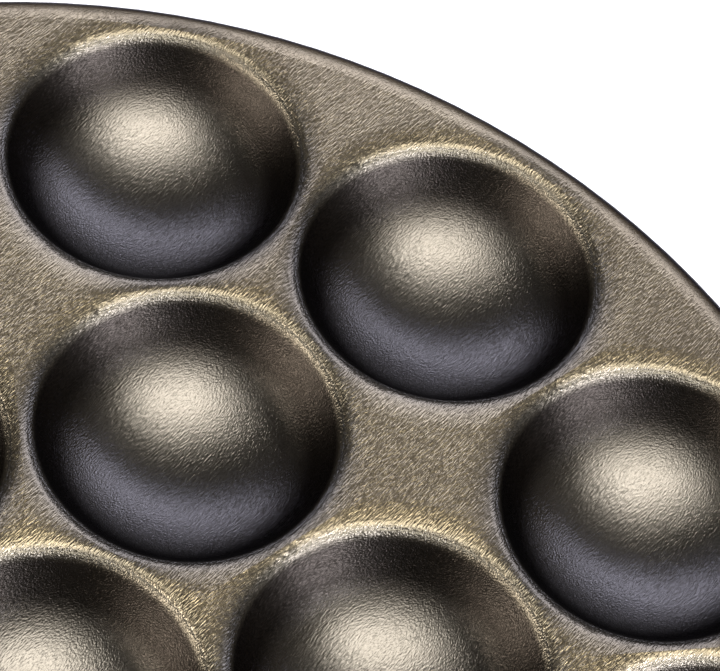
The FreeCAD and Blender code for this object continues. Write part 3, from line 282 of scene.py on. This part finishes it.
FINISHES = {
    # Dark bronze glow in the cups with painted shade on their walls; painted light and a fine one-way
    # wrinkle on the flat top
    "plate_coating": bronze_coating(),
    # Dull warm grey of a tube that has often been hot
    "element_steel": finish("annealed_sheath_steel", "8c8278", "5f5850", 12, 0.5, (0.35, 0.55), 0.01,
                            Metallic=1.0),
    # Chalky off-white with no shine
    "ceramic": finish("unglazed_ceramic", "ece6d8", "d9d0bd", 6, 0.3, (0.55, 0.8), 0.02),
    # Warm, fairly sharp reflections
    "plated_steel": finish("nickel_plated_steel", "cfccc4", "b3b0a8", 5, 0.3, (0.18, 0.32), 0.003,
                           Metallic=1.0),
    # Pale sheet with a cloudy sheen
    "shield_steel": finish("aluminised_sheet_steel", "c3c5c6", "a5a8aa", 15, 0.8, (0.3, 0.5), 0.006,
                           Metallic=1.0),
    # Cool bright screw heads
    "screw_steel": finish("zinc_plated_screw_steel", "c8c8c6", "a9abac", 4, 0.3, (0.22, 0.38), 0.004,
                          Metallic=1.0),
    # Tan, scaly and half matt
    "insulator": finish("pressed_mica_insulator", "b39a6c", "947d52", 3, 0.5, (0.4, 0.65), 0.01),
    # Black with a fine moulded grain that breaks the highlights
    "shell_plastic": finish("grained_black_plastic", "161618", "101012", 60, 0.45, (0.42, 0.58), 0.03),
    # Charcoal with a dry orange-peel surface
    "cover_steel": finish("powder_coated_cover_steel", "2b2b2d", "202022", 40, 0.5, (0.5, 0.7), 0.03),
    # Dead black with no highlight
    "foot_rubber": finish("matt_foot_rubber", "1d1d1d", "141414", 8, 0.3, (0.75, 0.92), 0.015),
    # Mid-grey steel with long strokes from side to side
    "panel_steel": finish("brushed_panel_steel", "7e7e7d", "696969", 30, 0.12, (0.34, 0.5), 0.004,
                          (60, 1, 1), Metallic=1.0),
    # Black with a soft sheen on the flutes
    "knob_plastic": finish("satin_knob_plastic", "19191b", "121214", 10, 0.3, (0.3, 0.42), 0.008),
    # Clean white line that reads from afar
    "pointer_white": finish("white_inlay_plastic", "efeee9", "e2e0d8", 5, 0.3, (0.25, 0.4), 0.004),
    # Orange-red metal with drawn streaks of light
    "copper": finish("drawn_copper", "d08f6a", "b06e4c", 6, 0.4, (0.22, 0.4), 0.004, Metallic=1.0),
    # Cream cloth with a rough weave
    "fuse_sleeve": finish("woven_glass_sleeve", "e8e3d2", "cfc8b2", 4, 0.4, (0.7, 0.9), 0.05),
    # Deep clear red with a sharp highlight
    "lens_red": finish("red_lens_plastic", "c4170f", "9d0f0a", 4, 0.3, (0.06, 0.14), 0.002,
                       Transmission_Weight=0.6),
    # Deep clear green with a sharp highlight
    "lens_green": finish("green_lens_plastic", "1c9a3c", "117a2b", 4, 0.3, (0.06, 0.14), 0.002,
                         Transmission_Weight=0.6),
    # Clear warm glass
    "lamp_glass": finish("clear_lamp_glass", "f6efe6", "eadfd0", 4, 0.3, (0.02, 0.06), 0.001,
                         Transmission_Weight=0.9),
    # Black with the same moulded grain as the shell
    "handle_plastic": finish("grained_handle_plastic", "151517", "0f0f11", 40, 0.45, (0.4, 0.56), 0.03),
    # Smooth black with a soft sheen
    "inlet_plastic": finish("satin_inlet_plastic", "161618", "101012", 12, 0.3, (0.35, 0.5), 0.01),
    # Yellow metal with a warm shine
    "brass": finish("bare_brass", "d8bf80", "bfa263", 4, 0.3, (0.2, 0.35), 0.004, Metallic=1.0),
}

# Flat black print on the steel panel
DIAL_INK = finish("black_dial_ink", "1c1c1e", "121213", 3, 0.2, (0.45, 0.6), 0.003)


def new_piece(name, points, faces, material, body):
    """Piece of the object from its points in mm, riding on a body."""
    mesh = bpy.data.meshes.new(name)
    mesh.from_pydata((points * MM).tolist(), [], [face.tolist() for face in faces])
    mesh.materials.append(material)
    mesh.validate()
    piece = bpy.data.objects.new(name, mesh)
    bpy.context.scene.collection.objects.link(piece)
    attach(piece, body)


def dial_place(degrees):
    """Middle of a mark on the dial, as (x, z) on the panel."""
    turn = np.radians(degrees)
    return np.stack([DIAL_RADIUS * np.sin(turn), DIAL_HEIGHT + DIAL_RADIUS * np.cos(turn)], axis=-1)


def dial_dots():
    """Printed dots half way between the numbers: flat cylinders, a circle of points at two depths."""
    step = DIAL_RANGE / DIAL_STEPS
    middles = dial_place(DIAL_START + step * (np.arange(DIAL_STEPS) + 0.5))
    turn = np.linspace(0, 2 * np.pi, DOT_CORNERS, endpoint=False)
    ring = DOT_RADIUS * np.stack([np.cos(turn), np.sin(turn)], axis=-1)
    grid = (len(middles), 2, DOT_CORNERS)
    flat = np.broadcast_to(middles[:, None, None, :] + ring, grid + (2,))
    depth = np.broadcast_to(np.array([[PRINT_BACK], [PRINT_BACK - PRINT_THICKNESS]]), grid)
    points = np.stack([flat[..., 0], depth, flat[..., 1]], axis=-1).reshape(-1, 3)
    index = np.arange(len(points)).reshape(grid)
    after = np.roll(index, -1, axis=2)
    sides = np.stack([index[:, 1], after[:, 1], after[:, 0], index[:, 0]], axis=-1).reshape(-1, 4)
    faces = [*sides, *index[:, 1], *index[:, 0, ::-1]]
    new_piece("dial_dots", points, faces, DIAL_INK, "base")


def printed_number(number):
    """One number as a mesh: its points in mm, lying flat about the origin, and its faces."""
    curve = bpy.data.curves.new("number", "FONT")
    curve.body = str(number)
    curve.align_x = "CENTER"
    curve.align_y = "CENTER"
    curve.size = NUMBER_HEIGHT / LETTER_SHARE
    curve.extrude = PRINT_THICKNESS / 2
    curve.resolution_u = LETTER_STEPS
    writer = bpy.data.objects.new("number", curve)
    letters = bpy.data.meshes.new_from_object(writer)
    points = np.empty(3 * len(letters.vertices))
    letters.vertices.foreach_get("co", points)
    corners = np.empty(len(letters.loops), dtype=int)
    letters.loops.foreach_get("vertex_index", corners)
    starts = np.empty(len(letters.polygons), dtype=int)
    letters.polygons.foreach_get("loop_start", starts)
    bpy.data.objects.remove(writer)
    bpy.data.curves.remove(curve)
    bpy.data.meshes.remove(letters)
    return points.reshape(-1, 3), np.split(corners, starts[1:])


def dial_numbers():
    """Printed plain numbers: each flat mesh is stood up and set in its place on the panel."""
    points = np.empty((0, 3))
    faces = []
    for number in range(DIAL_STEPS + 1):
        flat, rings = printed_number(number)
        x, z = dial_place(DIAL_START + DIAL_RANGE * number / DIAL_STEPS)
        depth = PRINT_BACK - PRINT_THICKNESS / 2 - flat[:, 2]
        faces += [ring + len(points) for ring in rings]
        points = np.vstack([points, np.stack([flat[:, 0] + x, depth, flat[:, 1] + z], axis=-1)])
    new_piece("dial_numbers", points, faces, DIAL_INK, "base")


def table_paper():
    """White paper: takes the shadow near the object, glows white far away, and is clear from below."""
    material = finish("white_table_paper", "f4f4f4", "ececec", 300, 2.0, (0.85, 0.95), 0.01,
                      Emission_Color=(1, 1, 1, 1))
    nodes = material.node_tree.nodes
    paper = nodes["Principled BSDF"]
    place = add(nodes, "TexCoord").outputs["Object"]
    away = add(nodes, "VectorMath", {}, {0: place}, operation="LENGTH").outputs["Value"]
    span = {"From Min": TABLE_GLOW_FROM[0] * MM, "From Max": TABLE_GLOW_FROM[1] * MM,
            "To Min": TABLE_GLOW[0], "To Max": TABLE_GLOW[1]}
    glow = add(nodes, "MapRange", span, {"Value": away}, interpolation_type="SMOOTHSTEP").outputs[0]
    nodes.id_data.links.new(glow, paper.inputs["Emission Strength"])
    below = add(nodes, "NewGeometry").outputs["Backfacing"]
    clear = add(nodes, "BsdfTransparent").outputs[0]
    surface = add(nodes, "MixShader", {}, {0: below, 1: paper.outputs[0], 2: clear}).outputs[0]
    nodes.id_data.links.new(surface, nodes["Material Output"].inputs["Surface"])
    return material


def white_table():
    """Plain pale floor, a square with the object in its middle."""
    mesh = bpy.data.meshes.new("table")
    square = TABLE_HALF * np.array([[-1, -1, 0], [1, -1, 0], [1, 1, 0], [-1, 1, 0]])
    mesh.from_pydata((MM * (square - [0, 0, TABLE_GAP])).tolist(), [], [[0, 1, 2, 3]])
    mesh.materials.append(table_paper())
    table = bpy.data.objects.new("table", mesh)
    bpy.context.scene.collection.objects.link(table)


def from_camera(right, away, up):
    """Direction given by an onlooker at the camera, turned into the part's own directions."""
    return Matrix.Rotation(math.radians(CAMERA_TURN), 3, "Z") @ Vector((right, away, up))


def softbox(name, towards, distance, size, radiance, colour):
    """Wide lamp that faces the lit point from a distance in mm; radiance is what a mirror would show."""
    lamp = bpy.data.lights.new(name, "AREA")
    lamp.shape = "RECTANGLE"
    lamp.size = size[0] * MM
    lamp.size_y = size[1] * MM
    lamp.energy = 4 * radiance * lamp.size * lamp.size_y
    lamp.color = linear(colour)[:3]
    back = Vector(towards).normalized()
    side = Vector((0, 0, 1)).cross(back).normalized()
    rise = back.cross(side)
    turn = Matrix((side, rise, back)).transposed().to_4x4()
    spot = bpy.data.objects.new(name, lamp)
    spot.matrix_world = Matrix.Translation((Vector(LIT_POINT) + back * distance) * MM) @ turn
    spot.visible_camera = False
    bpy.context.scene.collection.objects.link(spot)


def studio_light():
    """Key lamp over the camera, a cool card behind, a low strip at each side, and a dim room."""
    high = math.radians(CAMERA_TILT) + KEY_RISE
    over = from_camera(0.14, -math.cos(high), math.sin(high))
    softbox("key_softbox", over, 1100, (1350, 740), 6.6, "fffefc")
    softbox("back_card", from_camera(0.0, 1.0, 0.45), 1500, (3200, 620), 4.3, "d0d8ff")
    softbox("right_strip", from_camera(0.79, -0.61, 0.14), 900, (600, 180), 46.0, "eef0ff")
    softbox("left_strip", from_camera(-0.90, -0.43, 0.14), 1000, (600, 180), 40.0, "f4ece2")
    world = bpy.data.worlds.new("studio")
    world.use_nodes = True
    world.node_tree.nodes["Background"].inputs["Color"].default_value = ROOM_LIGHT
    bpy.context.scene.world = world


def photo_camera():
    """Camera at the photograph's place, turned about the upright, tilted and rolled."""
    lens = bpy.data.cameras.new("camera")
    lens.lens = CAMERA_LENS
    lens.sensor_width = FILM_WIDTH
    lens.clip_start = VIEW_DEPTH[0] * MM
    lens.clip_end = VIEW_DEPTH[1] * MM
    camera = bpy.data.objects.new("camera", lens)
    turn = Matrix.Rotation(math.radians(CAMERA_TURN), 3, "Z")
    tilt = Matrix.Rotation(math.radians(90 - CAMERA_TILT), 3, "X")
    roll = Matrix.Rotation(math.radians(CAMERA_ROLL), 3, "Z")
    camera.matrix_world = Matrix.Translation(Vector(CAMERA_PLACE) * MM) @ (turn @ tilt @ roll).to_4x4()
    bpy.context.scene.collection.objects.link(camera)
    bpy.context.scene.camera = camera


for part in frame["record"]["subparts"]:
    for place in frame["nodes"][part["node"]].material_slots:
        place.material = FINISHES[part["material_slot"]]

dial_dots()
dial_numbers()
white_table()
studio_light()
photo_camera()
bpy.context.scene.view_settings.view_transform = "Standard"
